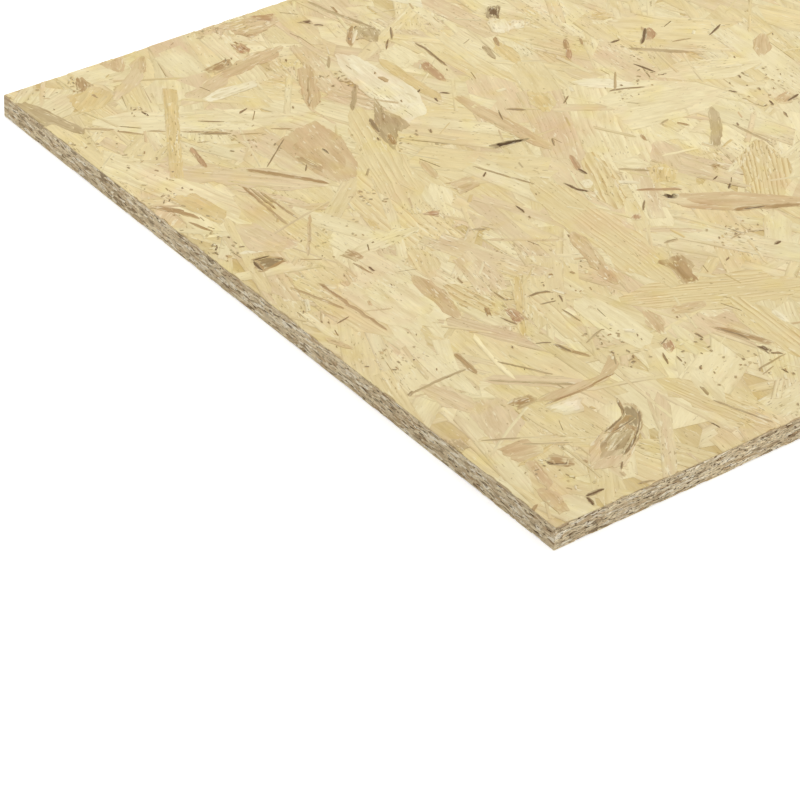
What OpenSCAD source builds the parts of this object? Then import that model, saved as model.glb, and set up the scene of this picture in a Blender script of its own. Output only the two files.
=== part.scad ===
// Square-edged oriented strand board panel, lying flat.
// The origin is at the centre of the underside: +X runs along the length, +Y across the width, +Z up.

/* [Panel] */
// Length of the panel, along X
panel_length = 1220; // [300:1:2800]
// Width of the panel, along Y
panel_width = 610; // [200:1:1250]
// Thickness of the pressed board
panel_thickness = 18; // [6:0.5:30]

/* [Sawn edges] */
// Width of the small flat that handling leaves along every arris
arris = 0.4; // [0.1:0.1:2]

/* [Hidden] */
board_colour = [0.87, 0.80, 0.63];

// A rectangle centred on the origin, with its four corners cut off at 45 degrees
module eased_rectangle(size, cut) {
    half = size / 2;
    corners = [[1, 1], [-1, 1], [-1, -1], [1, -1]];
    polygon([
        for (c = corners)
            for (first = [true, false])
                let (cut_along_x = (c[0] == c[1]) != first)
                    [c[0] * (half[0] - (cut_along_x ? cut : 0)),
                     c[1] * (half[1] - (cut_along_x ? 0 : cut))]
    ]);
}

// The pressed board: the common part of its eased plan, its long section and its cross section
module osb_panel() {
    color(board_colour)
        translate([0, 0, panel_thickness / 2])
            intersection() {
                linear_extrude(panel_thickness, center = true)
                    eased_rectangle([panel_length, panel_width], arris);
                rotate([90, 0, 0])
                    linear_extrude(panel_width, center = true)
                        eased_rectangle([panel_length, panel_thickness], arris);
                rotate([90, 0, 90])
                    linear_extrude(panel_length, center = true)
                        eased_rectangle([panel_width, panel_thickness], arris);
            }
}

osb_panel();
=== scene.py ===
"""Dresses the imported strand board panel: two faces of pressed strands, four sawn edges, studio and camera."""

import logging
import math
from dataclasses import dataclass, field
from enum import Enum

import bmesh
import bpy
import numpy as np
from mathutils import Matrix, Vector
from mathutils.geometry import delaunay_2d_cdt


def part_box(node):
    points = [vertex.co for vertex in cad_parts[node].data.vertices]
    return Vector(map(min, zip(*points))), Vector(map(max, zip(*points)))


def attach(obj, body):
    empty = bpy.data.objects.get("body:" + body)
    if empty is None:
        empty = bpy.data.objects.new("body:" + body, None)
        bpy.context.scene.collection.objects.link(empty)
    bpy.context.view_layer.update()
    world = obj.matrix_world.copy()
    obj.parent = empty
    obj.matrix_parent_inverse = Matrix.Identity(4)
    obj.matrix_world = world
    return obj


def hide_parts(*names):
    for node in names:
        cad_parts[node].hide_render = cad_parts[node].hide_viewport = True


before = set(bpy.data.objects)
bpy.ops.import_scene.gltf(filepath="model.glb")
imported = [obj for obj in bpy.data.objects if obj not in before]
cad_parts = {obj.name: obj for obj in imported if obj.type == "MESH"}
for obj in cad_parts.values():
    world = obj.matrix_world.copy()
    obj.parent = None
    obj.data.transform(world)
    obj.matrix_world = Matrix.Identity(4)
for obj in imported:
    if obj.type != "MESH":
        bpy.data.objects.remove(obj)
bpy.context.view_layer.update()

NODE = "osb_panel"
BODY = "root"
MM = 0.001
QUARTER_TURN = math.pi / 2
GRAIN_MAP = "grain"
BAKE_MAP = "OFBake"

# How far the face sheets stand back from the sawn edges
SHEET_INSET = 0.12 * MM

log = logging.getLogger("strand_board")


def srgb_to_linear(value: float) -> float:
    """Turns one sRGB channel from 0 to 255 into linear light from 0 to 1."""
    share = value / 255
    return share / 12.92 if share <= 0.04045 else ((share + 0.055) / 1.055) ** 2.4


class Tone(Enum):
    """Colours of the wood as they show under plain light, in sRGB from 0 to 255."""

    CREAM = (242, 228, 183)
    STRAW = (234, 215, 163)
    WHITE = (247, 236, 201)
    PINKISH = (227, 204, 162)
    HONEY = (225, 200, 140)
    TAN = (214, 186, 140)
    BROWN = (182, 149, 102)
    RUST = (190, 150, 109)
    GREY = (184, 160, 117)
    UMBER = (148, 123, 86)
    BARK = (116, 88, 55)
    # Painted shade: the dark brown painted into slits, on their floors in the faces and all through them in the
    # edges
    SLIT = (94, 71, 43)
    SAWN_WHITE = (250, 240, 216)
    SAWN_PALE = (238, 221, 184)
    SAWN = (206, 184, 146)
    SAWN_BROWN = (176, 141, 100)
    SAWN_DARK = (112, 88, 60)

    def linear(self) -> np.ndarray:
        """The tone as linear red, green and blue."""
        return np.array([srgb_to_linear(channel) for channel in self.value])

    def socket(self) -> tuple[float, float, float, float]:
        """The tone as a node takes it."""
        return (*self.linear(), 1.0)


class EndCut(Enum):
    """How the end of a strand is broken or cut."""

    SQUARE = "square"
    POINTED = "pointed"
    SPLINTERED = "splintered"


@dataclass(frozen=True)
class BoardSize:
    """The panel's box, read from the frame."""

    low: Vector
    high: Vector

    @classmethod
    def from_frame(cls) -> "BoardSize":
        """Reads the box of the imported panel."""
        return cls(*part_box(NODE))

    @property
    def length(self) -> float:
        """Size along X."""
        return self.high.x - self.low.x

    @property
    def width(self) -> float:
        """Size along Y."""
        return self.high.y - self.low.y

    @property
    def near_corner(self) -> Vector:
        """The top corner nearest to the camera."""
        return Vector((self.low.x, self.low.y, self.high.z))


@dataclass
class Strand:
    """One thin strand, chip or slit as it shows in a face, seen from above.

    Attributes:
        ring: Corners of its outline, anticlockwise, in metres.
        middle: Where the middle of its length and width lies.
        grain: Direction of its grain, in radians from +X.
        tone: Its colour.
        half: Half of its length and half of its width.
        shade: Brightness against the tone.
        rings: How plainly its growth rings show, from 0 up.
        hold: How far it keeps its own tone where others fade into the mat, from 0 to 1.
        bow: How far its middle stands out to one side.
        sunk: Whether it is a slit that lies below the face.
    """

    ring: np.ndarray
    middle: np.ndarray
    grain: float
    tone: Tone
    half: tuple[float, float]
    shade: float = 1.0
    rings: float = 0.0
    hold: float = 0.0
    bow: float = 0.0
    sunk: bool = False


def end_profile(cut: EndCut, width: float, reach: float,
                rng: np.random.Generator) -> list[tuple[float, float]]:
    """Draws one end of a strand, from its lower edge to its upper edge.

    Args:
        cut: How the end is broken.
        width: Width of the strand.
        reach: How far back from the tip the end may be cut.
        rng: Source of chance.

    Returns:
        Places as (distance back from the tip, distance across).
    """
    half = width / 2
    if cut is EndCut.POINTED:
        back = min(reach, width * rng.uniform(0.8, 2.5))
        tip = rng.uniform(-0.6, 0.6) * half
        return [(back, -half), (0.0, tip), (back * rng.uniform(0.6, 1.0), half)]
    if cut is EndCut.SPLINTERED:
        depth = min(reach, width * 0.8)
        marks = np.array([-1.0, *np.sort(rng.uniform(-0.8, 0.8, rng.integers(1, 4))), 1.0]) * half
        places = []
        for low, high in zip(marks, marks[1:]):
            back = depth * rng.uniform(0.0, 1.0) ** 1.5
            slant = depth * rng.uniform(0.0, 0.3)
            places += [(back, low), (back + slant, high)]
        return places
    skew = min(reach, width * rng.uniform(0.0, 0.6))
    return [(skew, -half), (0.0, half)] if rng.random() < 0.5 else [(0.0, -half), (skew, half)]


def split_side(length: float, half: float, rng: np.random.Generator) -> list[tuple[float, float]]:
    """Draws one long side of a strand, which follows the grain and steps where splinters came off.

    Args:
        length: Length of the strand.
        half: Half of its width.
        rng: Source of chance.

    Returns:
        Places as (distance along, distance out from the middle).
    """
    step_gap = 24 * MM
    stepped = 0.52
    count = max(1, round(length / step_gap))
    share = 0.5 / count
    even = np.linspace(share - 0.5, 0.5 - share, count)
    steps = (even + rng.uniform(-0.35, 0.35, count) / count) * length * stepped
    slopes = rng.uniform(0.05, 0.25, count) / count * length * stepped
    outs = half - min(0.22 * half, 1.0 * MM) * rng.uniform(0.0, 1.0, count + 1) ** 1.5
    places = []
    for step, slope, before, after in zip(steps, slopes, outs, outs[1:]):
        places += [(step, before), (step + slope, after)]
    return places


def strand_ring(length: float, width: float, cuts: tuple[EndCut, EndCut], bow: float,
                rng: np.random.Generator) -> np.ndarray:
    """Draws a strand's outline in its own frame, with its length along X.

    Args:
        length: Length of the strand.
        width: Width of the strand.
        cuts: How its two ends are broken.
        bow: How far its middle stands out to one side.
        rng: Source of chance.

    Returns:
        Corners of the outline, anticlockwise.
    """
    half = length / 2
    reach = length * 0.22
    corners = [(x, -w) for x, w in split_side(length, width / 2, rng)]
    corners += [(half - back, across) for back, across in end_profile(cuts[1], width, reach, rng)]
    corners += split_side(length, width / 2, rng)[::-1]
    corners += [(back - half, across) for back, across in end_profile(cuts[0], width, reach, rng)[::-1]]
    ring = np.array(corners)
    ring[:, 1] += bow * (1 - (ring[:, 0] / half) ** 2)
    return ring


def gap_ring(length: float, width: float, bow: float, rng: np.random.Generator) -> np.ndarray:
    """Draws the thin gap that opens along one side of a strand, in the strand's own frame.

    Args:
        length: Length of the strand.
        width: Width of the strand.
        bow: How far the strand's middle stands out to one side.
        rng: Source of chance.

    Returns:
        Corners of the gap, anticlockwise.
    """
    run = length * rng.uniform(0.15, 0.45)
    start = rng.uniform(-0.4, 0.4) * (length - run) - run / 2
    wide = rng.uniform(0.35, 0.8) * MM
    side = rng.choice([-1.0, 1.0])
    along = start + run * np.array([0.0, 0.3, 0.65, 1.0, 0.7, 0.25])
    out = width * 0.49 + wide * np.array([0.0, -0.5, -0.4, 0.1, 0.6, 0.5])
    bent = side * out + bow * (1 - (2 * along / length) ** 2)
    ring = np.column_stack([along, bent])
    return ring if side > 0 else ring[::-1]


def placed(ring: np.ndarray, middle: np.ndarray, turn: float) -> np.ndarray:
    """Turns an outline and moves it to its place.

    Args:
        ring: Corners in the strand's own frame.
        middle: Where its middle goes.
        turn: Its direction, in radians from +X.

    Returns:
        Corners in the face.
    """
    along = np.array([math.cos(turn), math.sin(turn)])
    across = np.array([-along[1], along[0]])
    return middle + ring[:, :1] * along + ring[:, 1:] * across


@dataclass(frozen=True)
class StrandGrade:
    """One size of strand in the pressed mat, laid down at random.

    Attributes:
        count: Strands on one face.
        length: Usual length and its spread.
        width: Usual width and its spread, as a share.
        turn: Spread of the direction about the board's width, in radians.
        tones: Tones and how common each is.
        shade: Spread of the brightness.
        ringed: Share of the strands with plain growth rings.
        pointed: Share of the ends that come to a point.
        gaps: Share of the strands with an open gap along one side, its sunk floor painted brown as shade.
        hold: How far each keeps its own tone.
        sunk: Whether these are slits between strands.
        wild: Share of the strands that lie any way.
        bow: Spread of the bow, as a share of the length.
        stray: How far a strand may lie from its even place.
    """

    count: int
    length: tuple[float, float]
    width: tuple[float, float]
    turn: float
    tones: dict[Tone, float]
    shade: float = 0.03
    ringed: float = 0.2
    pointed: float = 0.3
    gaps: float = 0.0
    hold: float = 0.0
    sunk: bool = False
    wild: float = 0.14
    bow: float = 0.012
    stray: float = 10 * MM

    def lay(self, size: tuple[float, float], start: int, rng: np.random.Generator) -> list[list[Strand]]:
        """Lays the strands evenly over a face.

        Args:
            size: Length and width of the face.
            start: Where in the even sequence of places to begin.
            rng: Source of chance.

        Returns:
            The strands, each with the gap beside it if it has one.
        """
        # One over the plastic number and over its square: their multiples spread evenly
        even_steps = np.array([0.7548776662, 0.5698402910])
        spots = np.modf(np.outer(np.arange(start, start + self.count), even_steps))[0] - 0.5
        return [self.lay_one(spot * np.array(size), rng) for spot in spots]

    def lay_one(self, spot: np.ndarray, rng: np.random.Generator) -> list[Strand]:
        """Lays one strand near a spot.

        Args:
            spot: Where it goes.
            rng: Source of chance.

        Returns:
            The strand, and the gap beside it if it has one.
        """
        tones = list(self.tones)
        odds = np.array(list(self.tones.values()))
        length = max(rng.normal(*self.length), self.length[0] * 0.35)
        width = min(self.width[0] * math.exp(rng.normal(0.0, self.width[1])), length * 0.7)
        wild = rng.random() < self.wild
        turn = QUARTER_TURN + (rng.uniform(-1.5, 1.5) if wild else rng.normal(0.0, self.turn))
        cuts = tuple(
            EndCut.POINTED if rng.random() < self.pointed else rng.choice(list(EndCut), p=(0.3, 0.0, 0.7))
            for _ in range(2)
        )
        bow = rng.normal(0.0, self.bow) * length
        ring = strand_ring(length, width, cuts, bow, rng)
        middle = spot + rng.normal(0.0, self.stray, 2)
        tone = tones[rng.choice(len(tones), p=odds / odds.sum())]
        rings = rng.uniform(0.5, 1.0) if rng.random() < self.ringed else rng.uniform(0.0, 0.25)
        shade = 1 + rng.normal(0.0, self.shade)
        half = (length / 2, width / 2)
        outline = placed(ring, middle, turn)
        laid = [Strand(outline, middle, turn, tone, half, shade, rings, self.hold, bow, self.sunk)]
        if rng.random() < self.gaps:
            gap = placed(gap_ring(length, width, bow, rng), middle, turn)
            # The gap is sunk, and its floor is painted brown as the shade in it
            laid.append(Strand(gap, middle, turn, Tone.BROWN, half, hold=0.6, bow=bow, sunk=True))
        return laid


# Tones of the strands and how common each is
PALE = {Tone.CREAM: 33, Tone.STRAW: 34, Tone.PINKISH: 17, Tone.WHITE: 7, Tone.HONEY: 5, Tone.TAN: 4}
MIXED = {Tone.CREAM: 27, Tone.STRAW: 30, Tone.PINKISH: 14, Tone.WHITE: 10, Tone.HONEY: 12, Tone.TAN: 7}
CRUMB = {Tone.WHITE: 10, Tone.CREAM: 4, Tone.HONEY: 6, Tone.TAN: 6, Tone.BROWN: 4, Tone.GREY: 3}
DARK = {Tone.TAN: 4, Tone.BROWN: 5, Tone.GREY: 3, Tone.UMBER: 3, Tone.BARK: 1}
# The loose slits are sunk, and their floors take these dark browns as painted shade
SLITS = {Tone.BROWN: 1, Tone.UMBER: 3, Tone.BARK: 1}

# Strands of the mat, loose slivers, bits and slits on it, and dark chips
MAT = (
    StrandGrade(540, (0.105, 0.022), (0.030, 0.30), 0.42, PALE, gaps=0.16),
    StrandGrade(700, (0.095, 0.025), (0.016, 0.40), 0.50, PALE, gaps=0.12),
    StrandGrade(560, (0.070, 0.022), (0.007, 0.40), 0.60, MIXED, shade=0.04, gaps=0.1),
)
LOOSE = (
    StrandGrade(260, (0.036, 0.014), (0.0026, 0.35), 0.70, PALE, shade=0.05, pointed=0.6, hold=0.2),
    StrandGrade(240, (0.010, 0.005), (0.0018, 0.40), 0.80, CRUMB, shade=0.05, pointed=0.4, hold=0.45),
    StrandGrade(120, (0.008, 0.004), (0.0007, 0.30), 0.70, SLITS, pointed=1.0, hold=0.7, sunk=True),
)
CHIPS = StrandGrade(230, (0.014, 0.006), (0.0035, 0.40), 0.90, DARK, shade=0.08, pointed=0.5, hold=0.6)


def ribbon(path: np.ndarray, width: float, rng: np.random.Generator) -> np.ndarray:
    """Draws an outline along a middle line, uneven at its sides and narrower at its ends.

    Args:
        path: Places along the middle line.
        width: Usual width.
        rng: Source of chance.

    Returns:
        Corners of the outline, anticlockwise.
    """
    reach = np.concatenate([[0.0], np.cumsum(np.hypot(*np.diff(path, axis=0).T))])
    count = int(np.clip(reach[-1] / (4 * MM), 4, 14))
    at = np.linspace(0.0, reach[-1], count)
    spine = np.column_stack([np.interp(at, reach, path[:, 0]), np.interp(at, reach, path[:, 1])])
    way = np.gradient(spine, axis=0)
    way /= np.linalg.norm(way, axis=1)[:, None]
    across = np.column_stack([-way[:, 1], way[:, 0]])
    from_end = np.minimum(at, reach[-1] - at)
    swell = np.minimum(1.0, 0.2 + from_end / (width + 2 * MM))
    spine += across * rng.normal(0.0, min(0.12 * width, 0.35 * MM), (count, 1))
    halves = rng.uniform(0.7, 1.15, (2, count, 1)) * swell[:, None] * width / 2
    inner = np.minimum(1, from_end / (6 * MM))[:, None]
    slip = way * rng.normal(0.0, min(0.3 * width, 1.5 * MM), (2, count, 1)) * inner
    lower = spine - across * halves[0] + slip[0]
    upper = spine + across * halves[1] + slip[1]
    return np.concatenate([lower, upper[::-1]])


def torn_outline(corners: np.ndarray, way: np.ndarray, rng: np.random.Generator) -> np.ndarray:
    """Tears an outline between its corners into splinters that run along the grain.

    Args:
        corners: Corners of the outline.
        way: Direction of the grain.
        rng: Source of chance.

    Returns:
        Corners of the torn outline, anticlockwise.
    """
    gap, splinter, jag = 2.6 * MM, 1.3 * MM, 0.25 * MM
    ring = []
    for start, end in zip(corners, np.roll(corners, -1, axis=0)):
        count = max(1, round(math.dist(start, end) / gap))
        course = (end - start) / math.dist(start, end)
        spread = splinter * abs(way[0] * course[1] - way[1] * course[0])
        for k in range(count):
            place = start + (end - start) * k / count
            ring.append(place + way * rng.normal(0.0, spread) + rng.normal(0.0, jag, 2))
    ring = np.array(ring)
    after = np.roll(ring, -1, axis=0)
    turning = np.sum(ring[:, 0] * after[:, 1] - ring[:, 1] * after[:, 0])
    return ring if turning > 0 else ring[::-1]


# How far each tone of a mark keeps to itself
HOLDS = {
    Tone.SLIT: 1.0, Tone.BARK: 0.95, Tone.UMBER: 0.9, Tone.BROWN: 0.9, Tone.RUST: 0.85, Tone.GREY: 0.75,
    Tone.TAN: 0.7, Tone.HONEY: 0.75, Tone.PINKISH: 0.6, Tone.STRAW: 0.45, Tone.CREAM: 0.6, Tone.WHITE: 0.75,
}

# Tones that long strands take by the marks in place of conspicuous ones
CALM = {Tone.WHITE: Tone.CREAM, Tone.TAN: Tone.PINKISH, Tone.HONEY: Tone.STRAW}

# The worn rim of a mark and its body: size against the mark, and how far each keeps its tone
MARK_LAYERS = ((1.12, 0.5), (0.74, 1.0))

# Lines thinner than this, in millimetres, are fainter in these tones
THIN = 2.5
FAINT = 0.75
FAINT_LINES = (Tone.TAN, Tone.GREY, Tone.BROWN, Tone.RUST)

# Tones of the worn rims of dark marks
RIMS = {Tone.SLIT: Tone.UMBER, Tone.BARK: Tone.UMBER, Tone.UMBER: Tone.BROWN}


def outlined(ring: np.ndarray, turn: float, tone: Tone, rings: float = 0.1, fade: float = 1.0) -> Strand:
    """Makes a strand of an outline, with its middle and half sizes worked out.

    Args:
        ring: Corners of the outline.
        turn: Direction of its grain.
        tone: Its colour.
        rings: How plainly its growth rings show.
        fade: How far it keeps its own tone, against what is usual for the tone.

    Returns:
        The strand.
    """
    along = np.array([math.cos(turn), math.sin(turn)])
    axes = np.column_stack([along, (-along[1], along[0])])
    own = ring @ axes
    middle = (own.min(axis=0) + own.max(axis=0)) / 2 @ axes.T
    half = tuple(np.ptp(own, axis=0) / 2)
    return Strand(ring, middle, turn, tone, half, 1.0, rings, HOLDS[tone] * fade, sunk=tone is Tone.SLIT)


@dataclass(frozen=True)
class Mark:
    """A conspicuous strand, flake or slit, in millimetres from the near corner of the top face.

    Attributes:
        width: Its width, or 0 where the path is its outline.
        path: Its middle line from end to end, or its outline.
        rings: How plainly its growth rings show.
        fade: How far it keeps its own tone, against what is usual for the tone.
    """

    width: float
    path: tuple[tuple[float, float], ...]
    rings: float = 0.1
    fade: float = 1.0

    def strands(self, tone: Tone, corner: np.ndarray, rng: np.random.Generator) -> list[Strand]:
        """Draws the mark in the face: a thin worn rim, and its body.

        Args:
            tone: Its colour.
            corner: The near corner of the face.
            rng: Source of chance.

        Returns:
            The rim and the body.
        """
        path = corner + np.array(self.path) * MM
        middle = path.mean(axis=0)
        way = path[-1] - path[0] if self.width else np.linalg.eigh(np.cov(path.T))[1][:, 1]
        turn = math.atan2(way[1], way[0])
        faint = FAINT if 0 < self.width < THIN and tone in FAINT_LINES else 1.0
        laid = []
        for size, fade in MARK_LAYERS:
            if self.width:
                ring = ribbon(path, self.width * size * MM, rng)
            else:
                ring = torn_outline(middle + (path - middle) * size, way, rng)
            shown = RIMS.get(tone, tone) if size > 1 else tone
            laid.append(outlined(ring, turn, shown, self.rings, fade * self.fade * faint))
        return laid


# Broad pale strands and strands with plain growth rings, which the other marks lie on
BROAD_MARKS = {
    Tone.STRAW: (
        Mark(22, ((152, 85), (178, 2)), 1.2),
        Mark(9, ((17, 95), (95, 42)), 0.4),
        Mark(25, ((108, 243), (115, 196)), 2.6),
        Mark(26, ((118, 292), (106, 255)), 1.0),
        Mark(20, ((30, 305), (42, 215)), 0.6),
        Mark(28, ((195, 458), (145, 322)), 0.8),
        Mark(8, ((36, 390), (6, 300)), 0.3),
        Mark(28, ((58, 410), (60, 300)), 0.5),
        Mark(34, ((190, 164), (308, 109)), 1.4),
        Mark(24, ((253, 126), (247, 42)), 1.4),
        Mark(34, ((238, 314), (231, 156)), 1.0),
        Mark(22, ((292, 318), (262, 250)), 2.2),
        Mark(34, ((350, 192), (402, 264)), 2.4),
    ),
    Tone.PINKISH: (
        Mark(12, ((60, 145), (112, 104))),
        Mark(22, ((36, 464), (118, 386)), 0.2),
        Mark(24, ((342, 302), (328, 266))),
        Mark(18, ((24, 162), (36, 118)), 0.3),
        Mark(0, ((25, 88), (30, 118), (45, 126), (56, 118), (52, 95), (38, 86))),
        Mark(6, ((258, 221), (292, 197))),
        Mark(0, ((120, 222), (130, 260), (145, 262), (146, 235), (138, 220))),
        Mark(14, ((95, 527), (150, 547))),
    ),
    Tone.CREAM: (
        Mark(28, ((30, 543), (150, 470))),
        Mark(0, ((47, 270), (75, 283), (92, 262), (88, 240), (87, 215), (60, 215), (48, 235)), 0.0),
        Mark(14, ((80, 308), (135, 308)), 0.4),
        Mark(0, ((342, 325), (350, 368), (385, 372), (420, 345), (425, 325), (395, 318))),
        Mark(0, ((300, 298), (317, 296), (316, 280), (302, 284))),
        Mark(26, ((400, 372), (478, 345))),
        Mark(0, ((57, 608), (62, 588), (72, 577), (86, 576), (97, 586), (103, 604))),
        Mark(0, ((158, 140), (160, 172), (168, 180), (178, 172), (182, 150), (180, 122), (165, 118))),
        Mark(12, ((196, 98), (200, 124)), 0.8),
        Mark(0, ((250, 500), (262, 512), (276, 505), (274, 486), (258, 482))),
        Mark(16, ((168, 38), (178, 80))),
    ),
    Tone.WHITE: (
        Mark(0, ((74, 98), (98, 97), (90, 82), (78, 86)), fade=0.5),
        Mark(0, ((213, 425), (213, 470), (218, 500), (228, 522), (238, 510), (241, 480),
                 (244, 455), (233, 430)), 0.0),
        Mark(13, ((344, 399), (380, 371))),
        Mark(4, ((18, 350), (55, 335))),
        Mark(6, ((264, 82), (266, 100))),
    ),
}
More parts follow.
